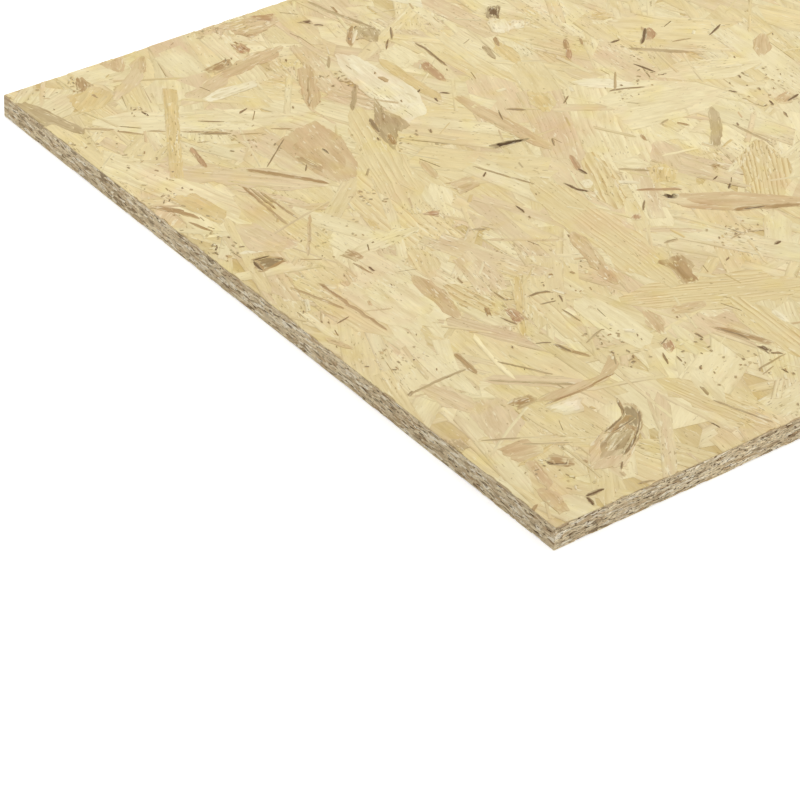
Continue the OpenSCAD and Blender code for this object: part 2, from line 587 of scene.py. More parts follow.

# Honey, tan, red-brown and grey strands and flakes, then bark flakes, and slits whose sunk floors are painted
# dark as shade
FINE_MARKS = {
    Tone.PINKISH: (
        Mark(0, ((27, 350), (36, 377), (47, 374), (50, 357), (58, 340), (40, 338))),
        Mark(0, ((58, 34), (76, 25), (99, 41), (110, 53), (104, 60), (88, 58), (72, 52)), 0.8),
        Mark(11, ((60, 560), (88, 578), (111, 601))),
    ),
    Tone.HONEY: (
        Mark(6, ((152, 225), (112, 168))),
        Mark(0, ((37, 458), (44, 453), (101, 543), (94, 549)), 0.3),
        Mark(3, ((20, 60), (55, 66))),
        Mark(0, ((18, 432), (36, 425), (40, 396), (28, 388))),
        Mark(0, ((108, 322), (113, 322), (116, 330), (112, 339))),
        Mark(0, ((304, 262), (314, 280), (324, 277), (327, 265), (318, 258))),
        Mark(0, ((301, 392), (308, 403), (315, 401), (320, 394), (317, 384), (308, 378), (302, 380))),
        Mark(9, ((250, 502), (250, 430))),
        Mark(13, ((335, 476), (330, 440))),
        Mark(0, ((416, 462), (424, 468), (431, 463), (432, 456), (422, 456))),
        Mark(0, ((32, 560), (36, 582), (60, 585), (62, 566), (48, 558)), fade=0.5),
    ),
    Tone.TAN: (
        Mark(12.5, ((97, 264), (95, 235), (90, 206))),
        Mark(2.2, ((85, 362), (53, 321))),
        Mark(14, ((140, 545), (203, 556))),
        Mark(6, ((97, 580), (111, 601))),
        Mark(7.5, ((73, 107), (100, 104), (125, 103), (137, 110), (148, 121)), fade=0.55),
        Mark(0, ((14, 36), (23, 27), (17, 8), (11, 10), (11, 24))),
        Mark(0, ((24, 57), (33, 60), (28, 37), (21, 33))),
        Mark(0, ((22, 80), (40, 80), (45, 70), (41, 63), (24, 64))),
        Mark(0, ((121, 446), (138, 452), (158, 455), (160, 430), (150, 400), (141, 388),
                 (127, 385), (121, 405))),
        Mark(5, ((6, 238), (13, 218))),
        Mark(0, ((80, 608), (97, 607), (93, 597), (86, 590), (82, 598))),
        Mark(8, ((189, 375), (184, 350)), 0.8),
        Mark(0, ((186, 341), (203, 339), (201, 327), (187, 326))),
        Mark(0, ((209, 134), (216, 139), (227, 136), (236, 132), (232, 128), (221, 127))),
        Mark(11, ((217, 246), (208, 212), (201, 180))),
        Mark(0, ((297, 243), (312, 238), (340, 222), (374, 190), (368, 183), (344, 196),
                 (322, 208), (306, 222))),
        Mark(0, ((261, 424), (260, 400), (262, 375), (267, 350), (272, 340), (277, 343),
                 (275, 380), (267, 424))),
        Mark(13, ((482, 350), (507, 375)), 0.8),
        Mark(0, ((450, 300), (463, 302), (465, 295), (456, 289), (449, 292))),
        Mark(12, ((196, 147), (188, 118))),
        Mark(0, ((182, 607), (226, 598), (220, 588), (206, 582), (192, 580), (186, 592))),
        Mark(13, ((168, 472), (202, 527)), 0.8),
    ),
    Tone.GREY: (
        Mark(0, ((70, 39), (84, 34), (100, 44), (111, 53), (104, 57), (90, 55), (78, 49)), 0.3, 0.7),
        Mark(0, ((0, 105), (9, 103), (8, 94), (0, 92))),
        Mark(0, ((0, 592), (7, 590), (13, 575), (15, 563), (20, 545), (17, 536), (12, 542),
                 (8, 557), (0, 559))),
        Mark(0, ((256, 534), (262, 547), (272, 547), (275, 534), (264, 525))),
        Mark(7.5, ((370, 272), (390, 295), (405, 317)), fade=0.85),
        Mark(4, ((409, 414), (425, 400), (444, 384))),
        Mark(0, ((184, 398), (200, 416), (211, 417), (212, 430), (208, 441), (213, 458),
                 (198, 438), (188, 424))),
        Mark(3, ((162, 286), (172, 281))),
        Mark(3.5, ((190, 455), (202, 468), (214, 484))),
        Mark(3, ((212, 512), (222, 526))),
        Mark(3.2, ((257, 600), (261, 580), (267, 563), (274, 540)), fade=0.8),
        Mark(2.2, ((401, 290), (403, 276), (407, 255))),
        Mark(4.5, ((319, 455), (325, 476))),
        Mark(2, ((14, 158), (34, 159.5), (58, 159.5)), fade=0.7),
        Mark(1.8, ((214, 349), (228, 320), (235, 307))),
        Mark(3, ((295, 290), (312, 275))),
        Mark(3, ((358, 318), (368, 321))),
        Mark(3, ((259, 200), (271, 199))),
        Mark(1.6, ((69, 5), (80, 2))),
        Mark(1.6, ((18, 94), (40, 82)), fade=0.8),
        Mark(1.6, ((36, 77), (62, 61))),
        Mark(1.6, ((165, 45), (180, 5))),
        Mark(1.8, ((62, 142), (105, 107)), fade=0.6),
        Mark(1.5, ((80, 155), (100, 124))),
        Mark(1.4, ((212, 54), (238, 57))),
        Mark(1.2, ((210, 48), (222, 51))),
        Mark(1.6, ((300, 179), (313, 180), (325, 175))),
        Mark(1.6, ((140, 109), (147, 120))),
        Mark(1.6, ((140, 139), (158, 145))),
    ),
    Tone.BROWN: (
        Mark(4.5, ((64, 178), (61, 151))),
        Mark(5, ((371, 436), (380, 450))),
        Mark(5, ((244, 528), (252, 541), (263, 552))),
        Mark(0, ((37, 57), (46, 57), (52, 48), (44, 44), (39, 49))),
        Mark(0, ((57, 603), (59, 586), (44, 583), (50, 594))),
        Mark(0, ((137, 560), (157, 563), (156, 553), (141, 551))),
        Mark(4.5, ((82, 433), (98, 414), (119, 386))),
        Mark(4.5, ((3, 429), (12, 418), (21, 399))),
        Mark(2.6, ((12, 400), (19, 381))),
        Mark(0, ((219, 106), (229, 97), (235, 85), (240, 72), (236, 71), (229, 80), (226, 90))),
        Mark(3.5, ((333, 468), (340, 481))),
        Mark(5, ((325, 205), (346, 197), (369, 184))),
        Mark(2, ((362, 372), (380, 393))),
        Mark(2, ((20, 541), (38, 527)), fade=0.8),
        Mark(2.4, ((38, 524), (51, 510)), fade=0.8),
        Mark(1.8, ((55, 513), (66, 505)), fade=0.6),
        Mark(2, ((74, 499), (93, 486)), fade=0.7),
        Mark(4, ((92, 486), (101, 478))),
        Mark(1.6, ((106, 473), (121, 465)), fade=0.6),
        Mark(1.6, ((128, 467), (141, 459)), fade=0.8),
        Mark(3, ((126, 138), (133, 126))),
        Mark(0, ((86, 57), (107, 63), (112, 72), (118, 72), (119, 65), (113, 56), (100, 53)), fade=0.95),
        Mark(0, ((58, 107), (72, 107), (73, 115), (59, 117)), fade=0.7),
        Mark(1.4, ((75, 101), (105, 100), (133, 103)), fade=0.6),
        Mark(0, ((72, 311), (82, 313), (83, 301), (76, 299))),
        Mark(0, ((240, 183), (258, 183), (258, 170), (251, 164), (248, 153), (238, 156), (243, 171))),
        Mark(3, ((349, 247), (354, 258), (358, 246))),
        Mark(1.6, ((443, 403), (458, 399))),
        Mark(2.6, ((40, 292), (41, 262), (44, 222)), fade=0.6),
        Mark(2.4, ((22, 298), (36, 258)), fade=0.5),
        Mark(2, ((73, 298), (76, 280)), fade=0.7),
        Mark(8, ((125, 400), (121, 428)), fade=0.5),
        Mark(4, ((370, 314), (375, 306))),
        Mark(3.5, ((338, 316), (336, 307))),
        Mark(2, ((168, 476), (192, 510))),
        Mark(7, ((186, 400), (193, 416))),
        Mark(2.6, ((65, 360), (68, 416)), fade=0.55),
        Mark(2, ((75, 362), (74, 404)), fade=0.5),
        Mark(1.8, ((70, 380), (71, 412)), fade=0.45),
        Mark(4, ((51, 576), (52, 569))),
    ),
    Tone.RUST: (
        Mark(0, ((148, 320), (160, 318), (155, 311))),
        Mark(0, ((177, 100), (184, 103), (187, 113), (179, 112))),
        Mark(0, ((117, 182), (121, 198), (126, 196), (127, 184))),
        Mark(0, ((260, 234), (264, 239), (269, 236), (265, 231))),
        Mark(3, ((287, 262), (300, 254), (314, 245))),
        Mark(0, ((428, 418), (438, 431), (442, 427), (441, 418), (433, 414))),
        Mark(0, ((268, 455), (267, 470), (271, 480), (276, 478), (275, 462), (270, 452))),
        Mark(0, ((171, 567), (174, 578), (180, 577), (181, 567), (176, 563))),
        Mark(0, ((210, 604), (225, 598), (218, 590), (211, 596))),
        Mark(5, ((279, 323), (271, 302))),
        Mark(4, ((68, 478), (62, 450))),
        Mark(1.6, ((61, 455), (66, 470))),
        Mark(5, ((364, 425), (373, 438))),
    ),
    Tone.UMBER: (
        Mark(0, ((101, 57.5), (113, 60), (109, 64), (112, 71), (114, 76), (120, 71), (120.5, 65),
                 (117, 58), (110, 50), (104, 46)), fade=0.85),
        Mark(2.4, ((80, 32), (92, 38), (102, 44.5), (110, 51.5), (115.5, 57.5), (119.5, 65))),
        Mark(2, ((86, 57.5), (98, 60.5), (107, 63.5), (111, 68), (113, 74), (116.5, 81))),
        Mark(1.6, ((92, 54.5), (103, 56.5), (112, 58))),
        Mark(4, ((122, 150), (124, 143), (126, 136))),
        Mark(1.6, ((178, 110), (187, 114))),
        Mark(1.4, ((115, 408), (121, 415))),
        Mark(3, ((281, 396), (293, 387)), fade=0.7),
        Mark(1.1, ((96, 427), (128, 451))),
        Mark(1.6, ((168, 91), (173.5, 103))),
        Mark(1.8, ((177, 88), (178.5, 95))),
        Mark(3, ((205, 108), (206, 100))),
        Mark(2, ((220, 106), (224, 97), (228, 90), (229, 81))),
        Mark(2.2, ((230, 64), (236.5, 58))),
        Mark(2, ((274, 239), (284, 249))),
        Mark(2.2, ((142, 201.5), (155, 201.5), (160, 196))),
        Mark(1.8, ((144, 190), (155, 187.5))),
        Mark(2, ((161, 192), (158, 184))),
        Mark(1.6, ((152, 178), (153, 160))),
        Mark(1.6, ((128, 220), (128.5, 206), (134, 204.5))),
        Mark(1.8, ((113, 193), (117, 180))),
        Mark(2.2, ((358, 374), (370, 371), (384, 364))),
        Mark(1.6, ((320, 379), (330, 385.5))),
        Mark(2.4, ((283, 347), (278, 338))),
        Mark(2.4, ((275, 520), (285, 535))),
        Mark(1.5, ((262, 510), (273, 522))),
        Mark(2.4, ((285, 506), (287, 496), (285, 480), (284, 467))),
        Mark(1.6, ((270, 385), (276, 398))),
        Mark(1.8, ((113, 157), (122, 152))),
        Mark(1.6, ((39, 38), (40, 33))),
        Mark(1.6, ((76, 28), (70, 22))),
        Mark(1.5, ((82, 490), (102, 477))),
        Mark(1.5, ((92, 504), (107, 493))),
        Mark(1.5, ((22, 247), (33, 249))),
        Mark(2.2, ((122, 496), (131, 499))),
        Mark(5, ((187, 420), (194, 440))),
        Mark(2, ((443, 283), (440, 275))),
        Mark(1.6, ((312, 178), (307, 190))),
        Mark(1.6, ((279, 160), (284, 163))),
        Mark(0, ((17, 323), (21, 338), (29, 338), (36, 332), (39, 326), (34, 325), (27, 324))),
    ),
    Tone.BARK: (
        Mark(2.8, ((33, 3), (34.5, 13))),
        Mark(3.2, ((34, 13.5), (49, 13))),
        Mark(3, ((18, 324), (20, 337))),
        Mark(2.2, ((20, 337.5), (33, 336))),
        Mark(2, ((33, 331), (38, 327))),
        Mark(0, ((228, 73), (232, 72), (233, 66), (229, 63))),
        Mark(0, ((233, 578), (242, 577), (240, 570))),
        Mark(3.4, ((240, 569), (246, 564))),
        Mark(2.2, ((332, 202), (347, 196))),
        Mark(2.2, ((37, 57), (39, 50), (45, 45), (50, 48))),
        Mark(3, ((79, 289), (79, 282))),
        Mark(2.2, ((142, 426), (142, 417))),
        Mark(3, ((67, 537), (68, 529))),
        Mark(2.8, ((211, 334), (217, 338))),
        Mark(3, ((256, 441), (262, 435))),
        Mark(2.4, ((249, 437), (248, 431))),
        Mark(2.2, ((244, 449), (248, 452))),
        Mark(2.4, ((252, 297), (254, 286), (260, 278))),
        Mark(2.4, ((206, 293), (206, 282))),
        Mark(2.8, ((272, 306), (273, 296))),
        Mark(2, ((341, 227), (347, 232))),
        Mark(2, ((340, 242), (346, 244))),
        Mark(4, ((319, 157), (326, 158))),
        Mark(0, ((353, 507), (359, 501), (363, 506), (371, 514), (366, 519), (359, 516))),
        Mark(3, ((455, 292), (469, 295))),
        Mark(2.6, ((445, 300), (444, 294))),
        Mark(2.4, ((430, 327), (434, 321))),
        Mark(3, ((421, 412.5), (431, 420), (440, 430))),
        Mark(3.2, ((404, 427.5), (413, 426.5))),
        Mark(2, ((472, 395), (481, 398), (490, 402.5))),
        Mark(2.2, ((398, 394), (401, 386), (404, 376))),
        Mark(2.4, ((404, 371), (409, 370))),
        Mark(2, ((224, 46), (225, 40))),
    ),
    Tone.SLIT: (
        Mark(0, ((242, 363.5), (255, 362), (268, 356.5), (265, 355), (243, 358.5))),
        Mark(0, ((297, 246), (301, 247), (303, 243), (306, 244), (307, 241), (303, 238.5), (299, 240))),
    ),
    Tone.WHITE: (
        Mark(0, ((170, 138), (177, 132), (175, 129), (169, 134))),
        Mark(0, ((113, 526), (130, 531), (157, 527), (152, 520), (118, 520))),
        Mark(0, ((343, 488), (349, 501), (357, 501), (362, 497), (358, 485), (352, 481))),
        Mark(0, ((356, 482), (364, 492), (372, 488), (366, 480))),
        Mark(0, ((260, 283), (262, 291), (267, 291), (269, 286), (263, 281))),
        Mark(3, ((219, 35), (223, 42))),
        Mark(2.5, ((247, 531), (262, 545))),
        Mark(2.5, ((161, 199), (165, 190))),
    ),
}

# Small dark specks, each about as wide as the number that follows its place
SPECKS = (
    (173, 127, 3), (160, 206, 2.4), (59, 289, 2), (78, 263, 2), (98, 162, 3), (56, 208, 2),
    (6, 226, 2), (12, 270, 2.4), (193, 538, 3.6), (18, 573, 2), (158, 482, 3.2), (219, 402, 4.8),
    (206, 11, 2.6), (235, 488, 3), (450, 316, 4.4), (404, 288, 4), (182, 414, 4.2), (205, 276, 3),
    (227, 446, 3.2), (208, 128, 2.4), (466, 360, 2.8), (459, 311, 2.6), (438, 334, 2.6), (477, 323, 2.4),
    (512, 370, 3), (281, 463, 2.4), (227, 296, 2), (43, 170, 2.4), (182, 76, 3.4), (178, 86, 2),
    (186, 67, 2.4), (148, 133, 3), (155, 110, 3), (172, 122, 2), (157, 562, 4), (155, 556, 3.2),
    (162, 562, 2.4), (160, 553, 2.4), (212, 243, 3.2), (15, 254, 2.4), (18, 251, 2), (294, 184, 3),
)

# Rough patches of small crumbs: from and to along the long edge, from and to along the short edge,
# and how many
CRUMB_PATCHES = (
    (4, 24, 344, 384, 33), (2, 30, 385, 440, 21), (12, 60, 20, 60, 27), (124, 139, 344, 374, 18),
    (10, 42, 432, 480, 21), (85, 122, 440, 482, 24), (0, 40, 480, 530, 24), (58, 72, 528, 546, 12),
    (198, 217, 483, 507, 24), (140, 168, 100, 150, 33), (178, 212, 55, 112, 24), (206, 232, 30, 75, 18),
    (288, 330, 170, 196, 24), (150, 200, 185, 215, 18), (180, 215, 385, 410, 15), (355, 390, 358, 380, 18),
    (395, 415, 368, 432, 18), (0, 60, 180, 215, 18), (60, 110, 310, 345, 18), (430, 480, 290, 340, 24),
    (150, 180, 590, 610, 15), (240, 280, 505, 560, 18), (20, 60, 585, 610, 15),
)


def speck_mark(across: float, up: float, width: float) -> Mark:
    """Makes a mark of a small dark speck."""
    half = width / 2
    return Mark(width * 0.9, ((across - half * 0.5, up - half), (across + half * 0.5, up + half)))


def crumbs(patch: tuple[int, ...], corner: np.ndarray, rng: np.random.Generator) -> list[Strand]:
    """Scatters small dark and pale crumbs over a patch.

    Args:
        patch: The patch as it is listed.
        corner: The near corner of the face.
        rng: Source of chance.

    Returns:
        The crumbs.
    """
    tones = (Tone.UMBER, Tone.BROWN, Tone.GREY, Tone.GREY, Tone.UMBER, Tone.WHITE, Tone.WHITE, Tone.CREAM)
    laid = []
    for _ in range(patch[4]):
        spot = corner + np.array([rng.uniform(*patch[0:2]), rng.uniform(*patch[2:4])]) * MM
        length = rng.uniform(1.4, 4.4) * MM
        width = min(rng.uniform(0.8, 2.2) * MM, length * 0.8)
        turn = rng.normal(QUARTER_TURN, 0.9)
        ring = strand_ring(length, width, (EndCut.POINTED, EndCut.SPLINTERED), 0.0, rng)
        tone = tones[rng.integers(len(tones))]
        laid.append(outlined(placed(ring, spot, turn), turn, tone, fade=rng.uniform(0.3, 0.65)))
    return laid


def crossing_sides(ring: np.ndarray) -> np.ndarray:
    """Finds the sides of a closed outline that cross each other.

    Args:
        ring: Corners of the outline.

    Returns:
        Pairs of numbers of sides.
    """
    ends = np.roll(ring, -1, axis=0)
    way = (ends - ring)[:, None]
    begun, ended = (corners[None] - ring[:, None] for corners in (ring, ends))
    left_begun = way[..., 0] * begun[..., 1] - way[..., 1] * begun[..., 0]
    left_ended = way[..., 0] * ended[..., 1] - way[..., 1] * ended[..., 0]
    apart = left_begun * left_ended < 0
    return np.argwhere(apart & apart.T)


def untangled(ring: np.ndarray) -> np.ndarray:
    """Takes out the corners at which a closed outline crosses itself.

    Args:
        ring: Corners of the outline.

    Returns:
        The corners that are left.
    """
    found = crossing_sides(ring)
    while len(found) and len(ring) > 4:
        first, second = found[0]
        nearby = second - first < len(ring) / 2
        ring = np.delete(ring, first + 1 if nearby else (second + 1) % len(ring), axis=0)
        found = crossing_sides(ring)
    return ring


def visible_cells(rings: list[np.ndarray],
                  border: np.ndarray) -> tuple[np.ndarray, list[list[int]], list[int]]:
    """Cuts overlapping outlines into the cells that are seen from above.

    Args:
        rings: Closed outlines, lowest first.
        border: The outline that everything is cut off at.

    Returns:
        Places, cells as loops of place numbers, and for each cell the number of the outline on top of it.
    """
    fineness = 1e-7
    straight = math.radians(0.3)
    places = []
    loops = []
    for ring in [border, *rings]:
        loops.append(list(range(len(places), len(places) + len(ring))))
        places += [Vector(place) for place in ring]
    spots, _, pieces, _, _, under = delaunay_2d_cdt(places, [], loops, 1, fineness)
    mesh = bmesh.new()
    verts = [mesh.verts.new((spot.x, spot.y, 0.0)) for spot in spots]
    for piece, sources in zip(pieces, under):
        if 0 in sources:
            mesh.faces.new([verts[k] for k in piece]).material_index = max(sources)
    mesh.normal_update()
    bmesh.ops.dissolve_limit(mesh, angle_limit=straight, verts=mesh.verts[:], edges=mesh.edges[:],
                             delimit={"MATERIAL"})
    bmesh.ops.delete(mesh, geom=[v for v in mesh.verts if not v.link_faces], context="VERTS")
    mesh.verts.index_update()
    found = np.array([v.co[:2] for v in mesh.verts])
    cells = [[v.index for v in face.verts] for face in mesh.faces]
    owners = [face.material_index for face in mesh.faces]
    mesh.free()
    return found, cells, owners


@dataclass
class SteppedSheet:
    """Cells raised to their own heights, with walls between them.

    Attributes:
        places: Corners of the cells.
        cells: Cells as loops of corner numbers, anticlockwise.
        heights: Height of each cell.
        base: Height of the flat underside that closes the sheet, or None to leave it open.
        points: Points of the sheet, which build fills with the next four.
        faces: Faces as loops of point numbers.
        cell_of_face: Number of the cell that each face belongs to, or -1 for the underside.
        wall: Whether each face is a wall or the underside.
        numbers: Number of the point over a place at a height.
    """

    places: np.ndarray
    cells: list[list[int]]
    heights: list[float]
    base: float | None
    points: list[tuple[float, float, float]] = field(default_factory=list)
    faces: list[list[int]] = field(default_factory=list)
    cell_of_face: list[int] = field(default_factory=list)
    wall: list[bool] = field(default_factory=list)
    numbers: dict[tuple[int, float], int] = field(default_factory=dict)

    def corner(self, place: int, height: float) -> int:
        """The number of the point over a place at a height, made when it is first asked for."""
        key = (place, height)
        if key not in self.numbers:
            self.numbers[key] = len(self.points)
            self.points.append((*self.places[place], height))
        return self.numbers[key]

    def add_face(self, corners: list[int], cell: int, wall: bool) -> None:
        """Adds a face that belongs to a cell."""
        self.faces.append(corners)
        self.cell_of_face.append(cell)
        self.wall.append(wall)

    def build(self) -> None:
        """Makes the tops, the walls between unlike heights and the underside."""
        beside = {}
        stacks = {}
        for number, loop in enumerate(self.cells):
            for start, end in zip(loop, loop[1:] + loop[:1]):
                beside[start, end] = number
                stacks.setdefault(start, set()).add(self.heights[number])
        rim = {start: end for start, end in beside if (end, start) not in beside}
        if self.base is not None:
            for place in rim:
                stacks[place].add(self.base)
        for number, loop in enumerate(self.cells):
            top = self.heights[number]
            self.add_face([self.corner(place, top) for place in loop], number, False)
            for start, end in zip(loop, loop[1:] + loop[:1]):
                other = beside.get((end, start))
                low = self.base if other is None else self.heights[other]
                if low is not None and low < top:
                    rise = [z for z in sorted(stacks[end]) if low <= z <= top]
                    fall = [z for z in sorted(stacks[start], reverse=True) if low <= z <= top]
                    corners = [self.corner(end, z) for z in rise] + [self.corner(start, z) for z in fall]
                    self.add_face(corners, number, True)
        if self.base is not None:
            self.close(rim)

    def close(self, rim: dict[int, int]) -> None:
        """Closes the sheet with one flat underside, given the place after each place of its rim."""
        first = next(iter(rim))
        ring = [first]
        while rim[ring[-1]] != first:
            ring.append(rim[ring[-1]])
        self.add_face([self.corner(place, self.base) for place in reversed(ring)], -1, True)


def border_ring(size: tuple[float, float]) -> np.ndarray:
    """The outline of a sheet, anticlockwise."""
    return np.array([(-1, -1), (1, -1), (1, 1), (-1, 1)]) * np.array(size) / 2


def new_piece(name: str, mesh: bpy.types.Mesh, material: bpy.types.Material) -> bpy.types.Object:
    """Adds a finished mesh to the scene as a piece of the board.

    Args:
        name: Name of the piece.
        mesh: Its mesh, in place.
        material: Its finish.

    Returns:
        The piece, riding on the board.
    """
    mesh.materials.append(material)
    piece = bpy.data.objects.new(name, mesh)
    bpy.context.scene.collection.objects.link(piece)
    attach(piece, BODY)
    mesh.calc_loop_triangles()
    log.info("%s: %d faces, %d triangles", name, len(mesh.polygons), len(mesh.loop_triangles))
    return piece


def write_corners(mesh: bpy.types.Mesh, name: str, values: np.ndarray) -> None:
    """Writes a map of two numbers for each corner of a mesh."""
    layer = mesh.uv_layers.new(name=name)
    layer.uv.foreach_set("vector", values.astype(np.float32).ravel())


def write_faces(mesh: bpy.types.Mesh, name: str, values: np.ndarray) -> None:
    """Writes one colour, or three numbers, for each face of a mesh."""
    layer = mesh.attributes.new(name, "FLOAT_COLOR", "FACE")
    full = np.column_stack([values, np.ones(len(values))])
    layer.data.foreach_set("color", full.astype(np.float32).ravel())


@dataclass
class StrandFace:
    """One broad face of the board: a thin sheet of pressed strands.

    Attributes:
        name: Name of the piece.
        size: Length and width of the sheet.
        outside: Height of its highest strands.
        upwards: Whether it is the top face.
        seed: Start of its chance.
        thickness: From its flat inner side to its highest strand.
        relief: Height between its lowest strand and its highest.
        levels: How many heights the strands are pressed to.
        slit_floor: Height of a slit's floor over the inner side.
        marked: How far from the near corner of the top face the marks take the place of chance.
        arris_chips: Number of splinters broken out of the four arrises.
        chip_run: Shortest and longest splinter, in millimetres.
        chip_depth: Shallowest and deepest splinter, in millimetres.
        wall_painted_shade: Brightness of the strands' upright sides, darkened as painted shade.
        strands: The strands, lowest first, which lay_strands fills.
    """

    name: str
    size: tuple[float, float]
    outside: float
    upwards: bool
    seed: int
    thickness: float = 0.8 * MM
    relief: float = 0.45 * MM
    levels: int = 6
    slit_floor: float = 0.1 * MM
    marked: float = 0.66
    arris_chips: int = 200
    chip_run: tuple[float, float] = (3, 18)
    chip_depth: tuple[float, float] = (0.35, 1.3)
    wall_painted_shade: float = 0.9
    strands: list[Strand] = field(default_factory=list)

    @property
    def near_corner(self) -> np.ndarray:
        """The corner nearest to the camera, from which the marks are measured."""
        return -np.array(self.size) / 2

    def lay_strands(self) -> None:
        """Lays the mat, the marks on it, and the loose slivers, chips and slits."""
        rng = np.random.default_rng(self.seed)
        start = self.seed * 1000
        mat = []
        for grade in MAT:
            mat += grade.lay(self.size, start, rng)
            start += grade.count
        self.strands = [strand for number in rng.permutation(len(mat)) for strand in mat[number]]
        loose = []
        for grade in LOOSE:
            loose += grade.lay(self.size, start, rng)
            start += grade.count
        chips = [strand for laid in CHIPS.lay(self.size, start, rng) for strand in laid]
        slivers = [strand for laid in loose for strand in laid]
        broad, fine = self.marks(rng) if self.upwards else ([], [])
        if self.upwards:
            chips = [chip for chip in chips if math.dist(chip.middle, self.near_corner) > self.marked]
            self.calm(self.strands + slivers)
        self.strands += broad + slivers + chips + fine + self.chip_arrises(rng)

    def calm(self, strands: list[Strand]) -> None:
        """Takes the conspicuous tones out of long strands by the marks."""
        shortest = 10 * MM
        for strand in strands:
            if strand.half[0] > shortest and math.dist(strand.middle, self.near_corner) < self.marked:
                strand.tone = CALM.get(strand.tone, strand.tone)

    def marks(self, rng: np.random.Generator) -> tuple[list[Strand], list[Strand]]:
        """Draws the conspicuous strands, flakes and slits by the near corner.

        Args:
            rng: Source of chance.

        Returns:
            The broad ones, which loose slivers may lie on, and the others.
        """
        corner = self.near_corner
        broad, fine = (
            [strand for tone, marks in group.items()
             for mark in marks for strand in mark.strands(tone, corner, rng)]
            for group in (BROAD_MARKS, FINE_MARKS)
        )
        for patch in CRUMB_PATCHES:
            fine += crumbs(patch, corner, rng)
        for speck in SPECKS:
            fine += speck_mark(*speck).strands(Tone.UMBER, corner, rng)
        return broad, fine

    def chip_arrises(self, rng: np.random.Generator) -> list[Strand]:
        """Breaks small splinters out of the arrises.

        Args:
            rng: Source of chance.

        Returns:
            The splinters as sunk strands across the border.
        """
        chips = []
        length, width = self.size
        for _ in range(self.arris_chips):
            at = rng.uniform(0.0, 2 * (length + width))
            run = rng.uniform(*self.chip_run) * MM
            deep = rng.uniform(*self.chip_depth) * MM
            ring = np.array([(-0.5, -1.0), (0.5, -1.0), (0.35, 0.5), (0.05, 1.0), (-0.3, 0.7)]) * (run, deep)
            sides = ((length, (0, -1), 0.0), (width, (1, 0), QUARTER_TURN),
                     (length, (0, 1), 2 * QUARTER_TURN), (width, (-1, 0), 3 * QUARTER_TURN))
            for side, out, turn in sides:
                if at < side:
                    way = np.array([math.cos(turn), math.sin(turn)])
                    middle = np.array(out) * self.size / 2 + way * (at - side / 2)
                    half = (run / 2, deep)
                    chip = placed(ring, middle, turn)
                    chips.append(Strand(chip, middle, turn, Tone.SAWN, half, 0.95, hold=1.0, sunk=True))
                    break
                at -= side
        return chips

    def heights(self) -> np.ndarray:
        """The height of each strand over the inner side: later strands lie higher, and slits are sunk."""
        sunk = np.array([strand.sunk for strand in self.strands])
        rank = np.cumsum(~sunk) / np.sum(~sunk)
        level = np.ceil(rank * self.levels).clip(1) / self.levels
        pressed = self.thickness - self.relief * (1 - level)
        return np.where(sunk, self.slit_floor, pressed)

    def build(self, finish: "StrandFinish") -> bpy.types.Object:
        """Presses the strands into one sheet and dresses it.

        Args:
            finish: The finish of the strands.

        Returns:
            The piece.
        """
        self.lay_strands()
        rings = [untangled(strand.ring) for strand in self.strands]
        places, cells, owners = visible_cells(rings, border_ring(self.size))
        bare = self.thickness - self.relief
        heights = [*self.heights().tolist(), bare]
        owners = np.array(owners) - 1
        sheet = SteppedSheet(places, cells, [heights[owner] for owner in owners], 0.0)
        sheet.build()
        mesh = bpy.data.meshes.new(self.name)
        mesh.from_pydata(sheet.points, [], sheet.faces)
        cell = np.array(sheet.cell_of_face)
        self.dress(mesh, np.where(cell >= 0, owners[cell], -1), np.array(sheet.wall), cell < 0)
        self.place(mesh)
        return new_piece(self.name, mesh, finish.material())

    def dress(self, mesh: bpy.types.Mesh, owner: np.ndarray, wall: np.ndarray, inner: np.ndarray) -> None:
        """Writes each strand's colour, darkened on its upright sides as painted shade, its traits and its grain
        on the mesh.

        Args:
            mesh: The sheet, before it is put in place.
            owner: Number of the strand that each face belongs to, or -1.
            wall: Whether each face is upright.
            inner: Whether each face is the hidden flat side.
        """
        rng = np.random.default_rng(self.seed + 1)
        bare = Strand(border_ring(self.size), np.zeros(2), QUARTER_TURN, Tone.HONEY, self.size, 0.9)
        strands = [*self.strands, bare]
        colours = np.array([strand.tone.linear() * strand.shade for strand in strands])
        traits = np.array([(strand.rings, 0.0, strand.hold) for strand in strands])
        traits[:, 1] = rng.uniform(0.0, 1.0, len(strands))
        halves = np.array([(*strand.half, strand.bow) for strand in strands])
        middles = np.array([strand.middle for strand in strands])
        turns = np.array([strand.grain for strand in strands])
        # The upright sides take their strand's colour darkened, as painted shade
        write_faces(mesh, "tone", colours[owner] * np.where(wall, self.wall_painted_shade, 1.0)[:, None])
        write_faces(mesh, "traits", traits[owner])
        write_faces(mesh, "reach", halves[owner])
        corner = np.zeros(len(mesh.loops), np.int32)
        mesh.loops.foreach_get("vertex_index", corner)
        count = np.zeros(len(mesh.polygons), np.int32)
        mesh.polygons.foreach_get("loop_total", count)
        face = np.repeat(np.arange(len(count)), count)
        points = np.zeros(len(mesh.vertices) * 3)
        mesh.vertices.foreach_get("co", points)
        flat = points.reshape(-1, 3)[corner, :2]
        strand = owner[face]
        offset = flat - middles[strand]
        cos, sin = np.cos(turns[strand]), np.sin(turns[strand])
        along = offset[:, 0] * cos + offset[:, 1] * sin
        across = offset[:, 1] * cos - offset[:, 0] * sin
        across -= halves[strand, 2] * (1 - (along / halves[strand, 0]) ** 2)
        write_corners(mesh, GRAIN_MAP, np.column_stack([along, across]))
        share = flat / np.array(self.size) + 0.5
        strip = 0.05
        share[:, 1] = np.where(inner[face], share[:, 1] * strip * 0.8, strip + share[:, 1] * (1 - strip))
        write_corners(mesh, BAKE_MAP, share)

